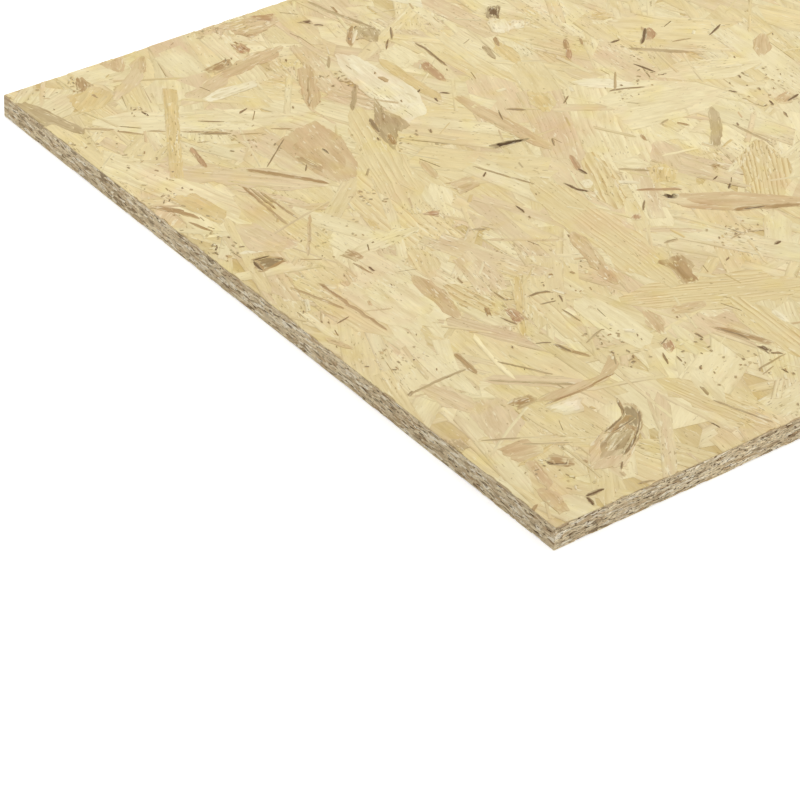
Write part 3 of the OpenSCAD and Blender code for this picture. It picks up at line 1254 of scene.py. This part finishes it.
    def place(self, mesh: bpy.types.Mesh) -> None:
        """Moves the sheet to its side of the board, turned over for the underside."""
        if self.upwards:
            mesh.transform(Matrix.Translation((0.0, 0.0, self.outside - self.thickness)))
        else:
            over = Matrix.Rotation(math.pi, 4, "X")
            mesh.transform(Matrix.Translation((0.0, 0.0, self.outside + self.thickness)) @ over)


class NodeGraph:
    """Adds nodes to a material round its own shader."""

    def __init__(self, name: str) -> None:
        """Starts a material with a plain shader."""
        self.material = bpy.data.materials.new(name)
        self.material.use_nodes = True
        self.tree = self.material.node_tree
        self.shader = self.tree.nodes["Principled BSDF"]

    def feed(self, socket: bpy.types.NodeSocket, value: object) -> None:
        """Links a socket to another one, or sets its value."""
        if isinstance(value, bpy.types.NodeSocket):
            self.tree.links.new(value, socket)
        else:
            socket.default_value = value

    def add(self, kind: str, inputs: dict[object, object], **options: object) -> bpy.types.Node:
        """Adds a node.

        Args:
            kind: Blender's name of the node's kind.
            inputs: Values or sockets by input name or number.
            options: The node's own settings.

        Returns:
            The node.
        """
        node = self.tree.nodes.new(kind)
        for name, value in options.items():
            setattr(node, name, value)
        for name, value in inputs.items():
            self.feed(node.inputs[name], value)
        return node

    def math(self, operation: str, first: object, second: object = 0.0) -> bpy.types.NodeSocket:
        """Works out one operation on two values."""
        return self.add("ShaderNodeMath", {0: first, 1: second}, operation=operation).outputs[0]

    def attribute(self, name: str) -> bpy.types.NodeSocket:
        """Reads the colour that the mesh gives each face."""
        return self.add("ShaderNodeAttribute", {}, attribute_name=name).outputs["Color"]

    def split(self, colour: bpy.types.NodeSocket) -> list[bpy.types.NodeSocket]:
        """Splits a colour into its three numbers."""
        return list(self.add("ShaderNodeSeparateColor", {0: colour}).outputs)

    def flat_map(self, name: str) -> tuple[bpy.types.NodeSocket, bpy.types.NodeSocket]:
        """Reads the two numbers of a map of the mesh."""
        read = self.add("ShaderNodeUVMap", {}, uv_map=name)
        split = self.add("ShaderNodeSeparateXYZ", {0: read.outputs[0]})
        return split.outputs[0], split.outputs[1]

    def stretched(self, along: object, across: object, third: object,
                  gaps: tuple[float, float, float]) -> bpy.types.NodeSocket:
        """Scales a place so that a pattern has the given gap each way."""
        place = self.add("ShaderNodeCombineXYZ", {0: along, 1: across, 2: third})
        inputs = {0: place.outputs[0], 1: tuple(1 / gap for gap in gaps)}
        return self.add("ShaderNodeVectorMath", inputs, operation="MULTIPLY").outputs[0]

    def noise(self, place: bpy.types.NodeSocket, detail: float = 2.0,
              rough: float = 0.5) -> bpy.types.NodeSocket:
        """Cloudy noise from 0 to 1 with a gap of 1."""
        inputs = {"Vector": place, "Scale": 1.0, "Detail": detail, "Roughness": rough}
        return self.add("ShaderNodeTexNoise", inputs).outputs[0]

    def cloud(self, gap: float, detail: float) -> bpy.types.NodeSocket:
        """Cloudy noise in the board's own space, with a gap in metres."""
        place = self.add("ShaderNodeTexCoord", {}).outputs["Object"]
        inputs = {"Vector": place, "Scale": 1 / gap, "Detail": detail}
        return self.add("ShaderNodeTexNoise", inputs).outputs[0]

    def cells(self, place: bpy.types.NodeSocket) -> list[bpy.types.NodeSocket]:
        """Three chance numbers for each cell of a net with a gap of 1."""
        inputs = {"Vector": place, "Scale": 1.0}
        return self.split(self.add("ShaderNodeTexVoronoi", inputs).outputs["Color"])

    def remap(self, value: object, source: tuple[float, float],
              target: tuple[float, float]) -> bpy.types.NodeSocket:
        """Takes one range of values to another, and holds it there."""
        inputs = {0: value, 1: source[0], 2: source[1], 3: target[0], 4: target[1]}
        return self.add("ShaderNodeMapRange", inputs).outputs[0]

    def mix(self, share: object, first: object, second: object, kind: str = "MIX") -> bpy.types.NodeSocket:
        """Mixes two colours."""
        inputs = {0: share, 6: first, 7: second}
        return self.add("ShaderNodeMix", inputs, data_type="RGBA", blend_type=kind).outputs[2]

    def lit(self, colour: object, light: bpy.types.NodeSocket) -> bpy.types.NodeSocket:
        """Makes a colour lighter or darker by a number."""
        grey = self.add("ShaderNodeCombineColor", {0: light, 1: light, 2: light}).outputs[0]
        return self.mix(1.0, colour, grey, "MULTIPLY")

    def bump(self, height: object, strength: float, distance: float) -> None:
        """Raises the shader's surface by a height."""
        inputs = {"Height": height, "Strength": strength, "Distance": distance}
        self.feed(self.shader.inputs["Normal"], self.add("ShaderNodeBump", inputs).outputs[0])


@dataclass(frozen=True)
class StrandFinish:
    """Pale softwood strands: wavy fibres, growth rings, mottle, frayed sides, pale and dark flecks, painted
    shade.

    Attributes:
        sway_gap: Size of the waves in the grain along, across and from strand to strand.
        sway: How far those waves go along and across.
        fibre_gap: Size of single fibres.
        bundle_gap: Size of fibre bundles.
        mottle_gap: Size of cloudy streaks that follow the grain.
        show_gap: Size of the stretches in which a strand stands out from the mat.
        fray_gap: Size of the frayed fibres at its sides.
        pale_gap: Size of pale flecks.
        dark_gap: Size of dark flecks.
        ring_gap: Usual distance between growth rings.
        rough_gap: Size of the rough patches where flecks gather.
        fibre_light: How far single fibres go darker and lighter.
        bundle_light: How far fibre bundles go darker and lighter.
        mottle_light: How far the cloudy streaks go darker and lighter.
        latewood: What the dark side of a growth ring does to the colour.
        pale_flecks: Where in the noise pale flecks start, and how plain they are; the flecks stand partly for
            pale fibres and partly for painted highlights.
        dark_flecks: Where in the noise dark flecks start, and how plain they are.
        fleck_and_shadow_tint: What a dark fleck does to the colour, and what the painted shadow at a strand's
            side and border does.
    """

    sway_gap: tuple[float, float, float] = (0.040, 0.014, 0.04)
    sway: tuple[float, float] = (0.016, 0.006)
    fibre_gap: tuple[float, float, float] = (0.020, 0.0013, 0.02)
    bundle_gap: tuple[float, float, float] = (0.040, 0.0030, 0.02)
    mottle_gap: tuple[float, float, float] = (0.028, 0.0070, 0.05)
    show_gap: tuple[float, float, float] = (0.050, 0.012, 0.03)
    fray_gap: tuple[float, float, float] = (0.007, 0.0018, 0.03)
    pale_gap: tuple[float, float, float] = (0.010, 0.0022, 0.03)
    dark_gap: tuple[float, float, float] = (0.005, 0.0017, 0.03)
    ring_gap: float = 0.0040
    rough_gap: float = 0.050
    fibre_light: tuple[float, float] = (-0.05, 0.05)
    bundle_light: tuple[float, float] = (-0.025, 0.025)
    mottle_light: tuple[float, float] = (-0.09, 0.08)
    latewood: tuple[float, float, float, float] = (0.78, 0.69, 0.57, 1.0)
    pale_flecks: tuple[float, float] = (0.645, 0.6)
    dark_flecks: tuple[float, float] = (0.665, 0.55)
    fleck_and_shadow_tint: tuple[float, float, float, float] = (0.42, 0.32, 0.20, 1.0)

    def ground(self, graph: NodeGraph) -> bpy.types.NodeSocket:
        """The common cloudy colour that the strands fade into."""
        pale = graph.mix(graph.remap(graph.cloud(0.07, 3.0), (0.35, 0.65), (0.0, 1.0)),
                         (*Tone.STRAW.linear() * 0.92, 1.0), Tone.CREAM.socket())
        pink = graph.remap(graph.cloud(0.045, 2.0), (0.45, 0.70), (0.0, 0.8))
        return graph.mix(pink, pale, Tone.PINKISH.socket())

    def wavy(self, graph: NodeGraph, along: object, across: object,
             seed: object) -> tuple[bpy.types.NodeSocket, bpy.types.NodeSocket]:
        """Bends a strand's straight grain into waves.

        Args:
            graph: The material's nodes.
            along: Distance along the strand from its middle.
            across: Distance across it.
            seed: The strand's own chance number.

        Returns:
            The bent distances along and across.
        """
        inputs = {"Vector": graph.stretched(along, across, seed, self.sway_gap), "Scale": 1.0, "Detail": 3.0}
        waves = graph.split(graph.add("ShaderNodeTexNoise", inputs).outputs["Color"])
        bent = [graph.math("ADD", straight, graph.math("MULTIPLY", graph.math("SUBTRACT", wave, 0.5), reach))
                for straight, wave, reach in zip((along, across), waves, self.sway)]
        return bent[0], bent[1]

    def ring_lines(self, graph: NodeGraph, along: object, across: object,
                   seed: object) -> bpy.types.NodeSocket:
        """Draws growth rings along the grain, broken here and there.

        Args:
            graph: The material's nodes.
            along: Distance along the strand from its middle.
            across: Distance across it.
            seed: The strand's own chance number.

        Returns:
            How dark the ring is, from 0 to 1.
        """
        gap = graph.remap(seed, (0.0, 1.0), (self.ring_gap * 0.6, self.ring_gap * 1.5))
        saw = graph.math("FRACT", graph.math("DIVIDE", across, gap))
        whole = graph.remap(graph.noise(graph.stretched(along, across, seed, self.mottle_gap), 3.0),
                            (0.40, 0.62), (0.05, 1.0))
        return graph.math("MULTIPLY", graph.math("POWER", saw, 2.5), whole)

    def frayed(self, graph: NodeGraph, along: object, across: object,
               seed: object) -> tuple[bpy.types.NodeSocket, bpy.types.NodeSocket, bpy.types.NodeSocket]:
        """Finds how a strand frays out at its sides and ends, and where a painted shadow line runs along one
        side.

        Args:
            graph: The material's nodes.
            along: Distance along the strand from its middle.
            across: Distance across it.
            seed: The strand's own chance number.

        Returns:
            How far the strand covers what it lies on, how strong the painted shadow line along its one side is,
            and how far it melts into the mat at its border, all from 0 to 1.
        """
        half_length, half_width = graph.split(graph.attribute("reach"))[:2]
        side = graph.math("SUBTRACT", half_width, graph.math("ABSOLUTE", across))
        end = graph.math("SUBTRACT", half_length, graph.math("ABSOLUTE", along))
        inside = graph.math("MINIMUM", side, graph.math("MULTIPLY", end, 0.4))
        soft = graph.math("MINIMUM", graph.math("MULTIPLY", half_width, 0.35), 0.0015)
        fray = graph.noise(graph.stretched(along, across, seed, self.fray_gap), 2.0)
        ragged = graph.remap(fray, (0.25, 0.75), (-0.9, 1.0))
        cover = graph.math("ADD", graph.math("DIVIDE", inside, soft), ragged)
        # Painted shadow: a thin dark line along the strand's one side, broken where the noise is low
        rim = graph.remap(graph.math("SUBTRACT", half_width, across), (0.0004, 0.0017), (1.0, 0.0))
        place = graph.stretched(along, 0.0, seed, self.mottle_gap)
        there = graph.remap(graph.noise(place, 3.0), (0.42, 0.60), (0.0, 1.0))
        melt = graph.remap(graph.math("ADD", inside, graph.remap(fray, (0.25, 0.75), (-0.002, 0.002))),
                           (0.0, 0.006), (0.85, 0.0))
        return graph.remap(cover, (0.0, 1.0), (0.0, 1.0)), graph.math("MULTIPLY", rim, there), melt

    def flecks(self, graph: NodeGraph, place: bpy.types.NodeSocket, rough: object,
               start: float) -> bpy.types.NodeSocket:
        """Scattered flecks from 0 to 1, thicker in the rough patches."""
        spotty = graph.math("ADD", graph.noise(place, 2.0, 0.6), graph.math("MULTIPLY", rough, 0.08))
        return graph.remap(spotty, (start, start + 0.07), (0.0, 1.0))

    def material(self) -> bpy.types.Material:
        """Builds the material.

        Returns:
            The strands' material.
        """
        graph = NodeGraph("pressed_strands")
        tone = graph.attribute("tone")
        rings, seed, hold = graph.split(graph.attribute("traits"))[:3]
        straight = graph.flat_map(GRAIN_MAP)
        cover, rim, melt = self.frayed(graph, *straight, seed)
        along, across = self.wavy(graph, *straight, seed)
        rough = graph.remap(graph.cloud(self.rough_gap, 2.0), (0.48, 0.66), (0.0, 1.0))
        show = graph.noise(graph.stretched(along, across, seed, self.show_gap), 3.0, 0.6)
        shown = graph.math("MAXIMUM", graph.remap(show, (0.36, 0.60), (0.45, 1.0)), hold)
        loose = graph.remap(hold, (0.1, 0.3), (0.0, 1.0))
        # Where the frayed strand doesn't cover: it fades there into the mat, and below it takes painted shade
        worn = graph.math("SUBTRACT", 1.0, cover)
        style = graph.math("FRACT", graph.math("MULTIPLY", seed, 17.0))
        melted = graph.math("MULTIPLY", melt, graph.remap(style, (0.4, 0.75), (1.0, 0.0)))
        lost = graph.mix(loose, melted, worn)
        kept = graph.math("MULTIPLY", shown, graph.math("SUBTRACT", 1.0, lost))
        colour = graph.mix(kept, self.ground(graph), tone)
        fibre = graph.noise(graph.stretched(along, across, seed, self.fibre_gap), 3.0, 0.6)
        bundle = graph.cells(graph.stretched(along, across, seed, self.bundle_gap))[0]
        mottle = graph.noise(graph.stretched(along, across, seed, self.mottle_gap), 4.0, 0.65)
        grainy = graph.math("ADD", graph.remap(fibre, (0.25, 0.75), self.fibre_light),
                            graph.remap(bundle, (0.0, 1.0), self.bundle_light))
        strength = graph.math("ADD", graph.remap(style, (0.0, 1.0), (0.5, 1.4)),
                              graph.remap(hold, (0.4, 0.9), (0.0, 0.5)))
        patchy = graph.math("MULTIPLY", graph.remap(mottle, (0.28, 0.72), self.mottle_light),
                            graph.remap(hold, (0.4, 0.9), (1.0, 1.8)))
        light = graph.math("ADD", graph.math("MULTIPLY", grainy, strength), graph.math("ADD", patchy, 0.99))
        lit = graph.lit(colour, light)
        browned = graph.mix(graph.remap(light, (1.0, 0.85), (0.0, 1.0)), lit,
                            graph.mix(1.0, lit, (1.0, 0.95, 0.84, 1.0), "MULTIPLY"))
        yellow = graph.mix(graph.remap(graph.cloud(0.022, 3.0), (0.52, 0.70), (0.0, 1.0)), browned,
                           graph.mix(1.0, browned, (1.0, 0.99, 0.86, 1.0), "MULTIPLY"))
        hued = graph.mix(graph.remap(graph.cloud(0.034, 3.0), (0.46, 0.30), (0.0, 1.0)), yellow,
                         graph.mix(1.0, yellow, (0.99, 0.94, 0.95, 1.0), "MULTIPLY"))
        latewood = graph.mix(1.0, hued, self.latewood, "MULTIPLY")
        line = graph.math("MULTIPLY", self.ring_lines(graph, along, across, seed), rings)
        ringed = graph.mix(line, hued, latewood)
        start, plain = self.pale_flecks
        # Pale flecks: partly pale fibres, partly painted highlights where torn fibres catch the light
        pale = self.flecks(graph, graph.stretched(along, across, seed, self.pale_gap), rough, start)
        flecked = graph.mix(graph.math("MULTIPLY", pale, plain), ringed, Tone.WHITE.socket())
        start, plain = self.dark_flecks
        away = graph.math("ADD", seed, 0.37)
        specked = self.flecks(graph, graph.stretched(along, across, away, self.dark_gap), rough, start)
        # Painted shade: the strand darkens at its frayed border and along the painted shadow line of its one
        # side
        border = graph.math("MULTIPLY", worn, graph.math("SUBTRACT", 1.0, loose))
        shadow = graph.math("MAXIMUM", graph.math("MULTIPLY", rim, 0.35),
                            graph.math("MULTIPLY", border, 0.16))
        # Dark flecks and the painted shade both draw the strand towards one dark brown
        marked = graph.math("MAXIMUM", graph.math("MULTIPLY", specked, plain), shadow)
        dark = graph.mix(1.0, lit, self.fleck_and_shadow_tint, "MULTIPLY")
        graph.feed(graph.shader.inputs["Base Color"], graph.mix(marked, flecked, dark))
        graph.feed(graph.shader.inputs["Roughness"], graph.remap(fibre, (0.2, 0.8), (0.78, 0.62)))
        graph.shader.inputs["Specular IOR Level"].default_value = 0.25
        graph.bump(graph.math("SUBTRACT", fibre, marked), 0.3, 0.0002)
        return graph.material


class Side(Enum):
    """The four sawn edges.

    Each has the corner that it starts from, its direction, and how many times shorter its streaks are.
    """

    FRONT = ((-1, -1), (1, 0), 2.0)
    RIGHT = ((1, -1), (0, 1), 2.4)
    BACK = ((1, 1), (-1, 0), 2.0)
    LEFT = ((-1, 1), (0, -1), 2.4)


@dataclass
class SawnBlock:
    """The sawn body of the board between its two faces, with the slits that show in its edges.

    Attributes:
        size: The board's box.
        skin: Thickness of the face sheets above and below.
        slit_gap: Length of edge for each slit that is tried.
        slit_length: Shortest and longest slit, in millimetres.
        slit_height: Lowest and highest slit, in millimetres.
        slit_depth: How far the slits go in.
        seed: Start of its chance.
        points: Points of the body, which build fills with the next four.
        faces: Faces as loops of point numbers.
        traits: For each face, whether it is in a slit and whether it is on a long edge.
        places: For each corner, its place along the edge and up it.
        bakes: For each corner, its place in the baked map.
    """

    size: BoardSize
    skin: float
    slit_gap: float = 2.0 * MM
    slit_length: tuple[float, float] = (1.2, 6.5)
    slit_height: tuple[float, float] = (0.3, 0.9)
    slit_depth: float = 1.4 * MM
    seed: int = 7
    points: list[Vector] = field(default_factory=list)
    faces: list[list[int]] = field(default_factory=list)
    traits: list[tuple[float, float, float]] = field(default_factory=list)
    places: list[tuple[float, float]] = field(default_factory=list)
    bakes: list[tuple[float, float]] = field(default_factory=list)

    def slits(self, run: float, low: float, high: float, rng: np.random.Generator) -> list[np.ndarray]:
        """Draws the slits of one edge that don't touch each other.

        Args:
            run: Length of the edge.
            low: Lowest height.
            high: Highest height.
            rng: Source of chance.

        Returns:
            Outlines as (distance along the edge, height).
        """
        rings = []
        boxes = []
        for _ in range(int(run / self.slit_gap)):
            length = rng.uniform(*self.slit_length) * MM
            tall = rng.uniform(*self.slit_height) * MM
            at = rng.uniform(length, run - length)
            level = rng.uniform(low + 1.5 * tall, high - 1.5 * tall)
            clear = 0.3 * MM
            box = (at - length / 2 - clear, at + length / 2 + clear,
                   level - tall - clear, level + tall + clear)
            if any(b[0] < box[1] and box[0] < b[1] and b[2] < box[3] and box[2] < b[3] for b in boxes):
                continue
            boxes.append(box)
            slope = rng.normal(0.0, 0.06)
            across = np.array([-0.5, -0.15, 0.3, 0.5, 0.2, -0.3]) * length
            rise = np.array([0.0, -0.5, -0.35, 0.05, 0.5, 0.4]) * tall * rng.uniform(0.7, 1.1, 6)
            rings.append(np.column_stack([at + across, level + rise + slope * across]))
        return rings

    def add_edge(self, side: Side, start: float, row: int, rng: np.random.Generator) -> float:
        """Builds one sawn edge.

        Args:
            side: Which edge.
            start: Distance round the board at which it starts.
            row: Its row in the baked map.
            rng: Source of chance.

        Returns:
            Distance round the board at which it ends.
        """
        (cx, cy), (dx, dy), shorten = side.value
        origin = Vector((cx * self.size.length / 2, cy * self.size.width / 2, 0.0))
        way = Vector((dx, dy, 0.0))
        inward = Vector((-dy, dx, 0.0))
        run = self.size.length if dx else self.size.width
        low, high = self.size.low.z + self.skin, self.size.high.z - self.skin
        border = np.array([(0.0, low), (run, low), (run, high), (0.0, high)])
        spots, cells, owners = visible_cells(self.slits(run, low, high, rng), border)
        sheet = SteppedSheet(spots, cells, [-self.slit_depth if owner else 0.0 for owner in owners], None)
        sheet.build()
        first = len(self.points)
        for along, level, depth in sheet.points:
            self.points.append(origin + way * along - inward * depth + Vector((0.0, 0.0, level)))
        for corners in sheet.faces:
            self.faces.append([first + c for c in corners])
            self.traits.append((any(sheet.points[c][2] < 0.0 for c in corners), dx != 0, 0.0))
            for c in corners:
                along, level, _ = sheet.points[c]
                self.places.append(((start + along) * shorten, level))
                rise = (level - low) / (high - low)
                self.bakes.append((along / self.size.length, (row + 0.05 + 0.9 * rise) * 0.23 + 0.08))
        return start + run

    def add_flat(self, level: float, order: int, row: float) -> None:
        """Closes the body at one level.

        Args:
            level: Height of the flat.
            order: 1 where it faces up, or -1 where it faces down.
            row: Where its strip starts in the baked map.
        """
        first = len(self.points)
        corners = [Vector((cx * self.size.length / 2, cy * self.size.width / 2, level))
                   for (cx, cy), _, _ in (side.value for side in Side)]
        self.points += corners
        ring = [0, 1, 2, 3][::order]
        self.faces.append([first + k for k in ring])
        self.traits.append((0.0, 0.0, 0.0))
        for k in ring:
            place = corners[k]
            self.places.append((place.x, place.y))
            rise = place.y / self.size.width + 0.5
            self.bakes.append((place.x / self.size.length + 0.5, row + 0.03 * rise))

    def build(self, finish: "SawnFinish") -> bpy.types.Object:
        """Builds the body with its four edges and dresses it.

        Args:
            finish: The finish of the sawn edges.

        Returns:
            The piece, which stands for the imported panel.
        """
        rng = np.random.default_rng(self.seed)
        start = 0.0
        for row, side in enumerate(Side):
            start = self.add_edge(side, start, row, rng)
        self.add_flat(self.size.high.z - self.skin, 1, 0.0)
        self.add_flat(self.size.low.z + self.skin, -1, 0.04)
        mesh = bpy.data.meshes.new("sawn_body")
        mesh.from_pydata(self.points, [], self.faces)
        write_faces(mesh, "traits", np.array(self.traits, float))
        write_corners(mesh, GRAIN_MAP, np.array(self.places))
        write_corners(mesh, BAKE_MAP, np.array(self.bakes))
        shape = bmesh.new()
        shape.from_mesh(mesh)
        bmesh.ops.remove_doubles(shape, verts=shape.verts[:], dist=1e-6)
        shape.to_mesh(mesh)
        shape.free()
        return new_piece("sawn_body", mesh, finish.material())


@dataclass(frozen=True)
class SawnFinish:
    """Sawn strand ends: thin wavy streaks along the edge, pale, brown and dark, with dark specks between; slits
    painted dark as shade.

    Attributes:
        streak_gap: Size of the streaks along the edge, up it and in depth.
        fine_gap: Size of the fine fibres.
        speck_gap: Size of the dark specks.
        sway_gap: Size of the waves in the streaks.
        sway: Height of those waves.
        fine_light: How far the fine fibres go darker and lighter on a short edge.
        long_light: How many times farther they go on a long edge.
        long_specks: How many times plainer the dark specks are on a long edge.
    """

    streak_gap: tuple[float, float, float] = (0.014, 0.0012, 1.0)
    fine_gap: tuple[float, float, float] = (0.006, 0.0007, 1.0)
    speck_gap: tuple[float, float, float] = (0.007, 0.0014, 1.0)
    sway_gap: tuple[float, float, float] = (0.024, 0.006, 1.0)
    sway: float = 0.0042
    fine_light: tuple[float, float] = (-0.20, 0.18)
    long_light: float = 3.0
    long_specks: float = 1.9

    def material(self) -> bpy.types.Material:
        """Builds the material.

        Returns:
            The sawn edges' material.
        """
        graph = NodeGraph("sawn_strand_ends")
        run, level = graph.flat_map(GRAIN_MAP)
        sunk, crossing = graph.split(graph.attribute("traits"))[:2]
        sway = graph.noise(graph.stretched(run, level, 0.0, self.sway_gap), 2.0)
        bent = graph.math("ADD", level, graph.math("MULTIPLY", sway, self.sway))
        pick, odd, warm = graph.cells(graph.stretched(run, bent, 0.0, self.streak_gap))[:3]
        fine = graph.noise(graph.stretched(run, bent, 0.0, self.fine_gap), 3.0, 0.65)
        speck = graph.noise(graph.stretched(run, bent, 3.0, self.speck_gap), 2.0, 0.6)
        base = graph.mix(graph.remap(pick, (0.1, 0.9), (0.0, 1.0)),
                         Tone.SAWN_PALE.socket(), Tone.SAWN.socket())
        browned = graph.mix(graph.remap(warm, (0.74, 0.95), (0.0, 0.6)), base, Tone.SAWN_BROWN.socket())
        whitened = graph.mix(graph.remap(odd, (0.22, 0.08), (0.0, 0.8)), browned, Tone.SAWN_WHITE.socket())
        streaked = graph.mix(graph.remap(odd, (0.80, 0.95), (0.0, 0.6)), whitened, Tone.SAWN_DARK.socket())
        spread = graph.math("MULTIPLY", graph.remap(fine, (0.25, 0.75), self.fine_light),
                            graph.remap(crossing, (0.0, 1.0), (1.0, self.long_light)))
        cloudy = graph.remap(graph.cloud(0.09, 2.0), (0.3, 0.7), (0.94, 1.07))
        lit = graph.lit(streaked, graph.math("ADD", spread, cloudy))
        spots = graph.math("MULTIPLY", graph.remap(speck, (0.59, 0.65), (0.0, 0.55)),
                           graph.remap(crossing, (0.0, 1.0), (1.0, self.long_specks)))
        specked = graph.mix(spots, lit, Tone.SAWN_DARK.socket())
        # The sides and floors of the sunk slits are painted dark brown as the shade in them
        graph.feed(graph.shader.inputs["Base Color"], graph.mix(sunk, specked, Tone.SLIT.socket()))
        graph.shader.inputs["Roughness"].default_value = 0.85
        graph.shader.inputs["Specular IOR Level"].default_value = 0.2
        graph.bump(graph.math("SUBTRACT", fine, graph.remap(speck, (0.58, 0.70), (0.0, 1.0))), 0.5, 0.0003)
        return graph.material


@dataclass(frozen=True)
class PhotoCamera:
    """The camera: where it stands from the near top corner, and where it looks.

    Attributes:
        from_corner: Place from the near top corner, in metres.
        elevation: Height above the horizon, in degrees.
        roll: Turn about its own axis, in degrees.
        lens: Focal length, in millimetres on the sensor.
        sensor: Width of the sensor, in millimetres.
    """

    from_corner: tuple[float, float, float] = (-1.136378, -1.253799, 1.281429)
    azimuth: float = -38.945
    elevation: float = 35.249
    roll: float = 2.508
    lens: float = 160.45
    sensor: float = 36.0

    def build(self, corner: Vector) -> None:
        """Stands the camera at its place.

        Args:
            corner: The board's near top corner.
        """
        turn, tilt = math.radians(self.azimuth), math.radians(self.elevation)
        back = Vector((math.sin(turn) * math.cos(tilt), -math.cos(turn) * math.cos(tilt), math.sin(tilt)))
        right = Vector((0.0, 0.0, 1.0)).cross(back).normalized()
        level = Matrix((right, back.cross(right), back)).transposed()
        rolled = level @ Matrix.Rotation(math.radians(self.roll), 3, "Z")
        data = bpy.data.cameras.new("photo_camera")
        data.lens = self.lens
        data.sensor_width = self.sensor
        data.clip_end = 100.0
        camera = bpy.data.objects.new("photo_camera", data)
        camera.matrix_world = Matrix.Translation(corner + Vector(self.from_corner)) @ rolled.to_4x4()
        bpy.context.scene.collection.objects.link(camera)
        bpy.context.scene.camera = camera


class Lamp(Enum):
    """Broad soft lamps, all pointing at the board: where each hangs, its side in metres and its watts."""

    OVERHEAD = ((0.3, 0.45, 2.0), 2.2, 17.4)
    LEFT = ((-1.6, 1.2, 1.1), 1.2, 6.8)
    RIGHT = ((1.5, -2.2, 1.3), 1.4, 26.8)


@dataclass(frozen=True)
class Studio:
    """Plain soft light and a pale floor.

    Attributes:
        sky: Strength of the even light from all round.
        floor_size: Side of the floor.
        floor_white: How pale the floor is.
        floor_glow: What the floor adds where it is seen.
    """

    sky: float = 0.5
    floor_size: float = 60.0
    floor_white: float = 0.8
    floor_glow: float = 0.55

    def build(self) -> None:
        """Sets up the sky, the lamps and the floor."""
        self.build_sky()
        for lamp in Lamp:
            self.build_lamp(lamp)
        self.build_floor()

    def seen(self, tree: bpy.types.NodeTree) -> bpy.types.NodeSocket:
        """Tells what the camera sees, straight or in gloss or glass, from light on the object.

        Args:
            tree: The nodes of a material or of the sky.

        Returns:
            1 for what the camera sees, or else 0.
        """
        path = tree.nodes.new("ShaderNodeLightPath")
        straight = path.outputs["Is Camera Ray"]
        for name in ("Is Glossy Ray", "Is Transmission Ray"):
            either = tree.nodes.new("ShaderNodeMath")
            either.operation = "MAXIMUM"
            tree.links.new(straight, either.inputs[0])
            tree.links.new(path.outputs[name], either.inputs[1])
            straight = either.outputs[0]
        return straight

    def build_sky(self) -> None:
        """An even sky that the camera sees as white."""
        world = bpy.data.worlds.new("studio_sky")
        world.use_nodes = True
        tree = world.node_tree
        strength = tree.nodes.new("ShaderNodeMapRange")
        strength.inputs["To Min"].default_value = self.sky
        strength.inputs["To Max"].default_value = 1.0
        tree.links.new(self.seen(tree), strength.inputs["Value"])
        background = tree.nodes["Background"]
        background.inputs["Color"].default_value = (1.0, 1.0, 1.0, 1.0)
        tree.links.new(strength.outputs[0], background.inputs["Strength"])
        bpy.context.scene.world = world

    def build_lamp(self, lamp: Lamp) -> None:
        """Hangs one lamp, which the camera doesn't see.

        Args:
            lamp: Which lamp.
        """
        place, side, power = lamp.value
        data = bpy.data.lights.new(lamp.name.lower() + "_lamp", "AREA")
        data.energy = power
        data.shape = "SQUARE"
        data.size = side
        light = bpy.data.objects.new(data.name, data)
        light.location = place
        light.rotation_euler = Vector(place).to_track_quat("Z", "Y").to_euler()
        light.visible_camera = False
        bpy.context.scene.collection.objects.link(light)

    def build_floor(self) -> None:
        """A wide pale floor that shows white to the camera but keeps the board's shadow."""
        shape = bmesh.new()
        bmesh.ops.create_grid(shape, x_segments=1, y_segments=1, size=self.floor_size / 2)
        mesh = bpy.data.meshes.new("studio_floor")
        shape.to_mesh(mesh)
        shape.free()
        graph = NodeGraph("pale_floor")
        white = (self.floor_white, self.floor_white, self.floor_white, 1.0)
        graph.shader.inputs["Base Color"].default_value = white
        graph.shader.inputs["Roughness"].default_value = 0.9
        graph.shader.inputs["Specular IOR Level"].default_value = 0.0
        graph.shader.inputs["Emission Color"].default_value = (1.0, 1.0, 1.0, 1.0)
        glow = graph.math("MULTIPLY", self.seen(graph.tree), self.floor_glow)
        graph.feed(graph.shader.inputs["Emission Strength"], glow)
        mesh.materials.append(graph.material)
        floor = bpy.data.objects.new("studio_floor", mesh)
        bpy.context.scene.collection.objects.link(floor)


def main() -> None:
    """Builds the board, the studio and the camera."""
    logging.basicConfig(level=logging.INFO, format="%(name)s: %(message)s")
    bpy.context.scene.view_settings.view_transform = "Standard"
    size = BoardSize.from_frame()
    sheet = (size.length - 2 * SHEET_INSET, size.width - 2 * SHEET_INSET)
    strands = StrandFinish()
    top = StrandFace("top_face", sheet, size.high.z, True, seed=3)
    top.build(strands)
    underside = StrandFace("underside", sheet, size.low.z, False, seed=11)
    underside.build(strands)
    body = SawnBlock(size, top.thickness).build(SawnFinish())
    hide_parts(NODE)
    PhotoCamera().build(size.near_corner)
    Studio().build()


if __name__ == "__main__":
    main()
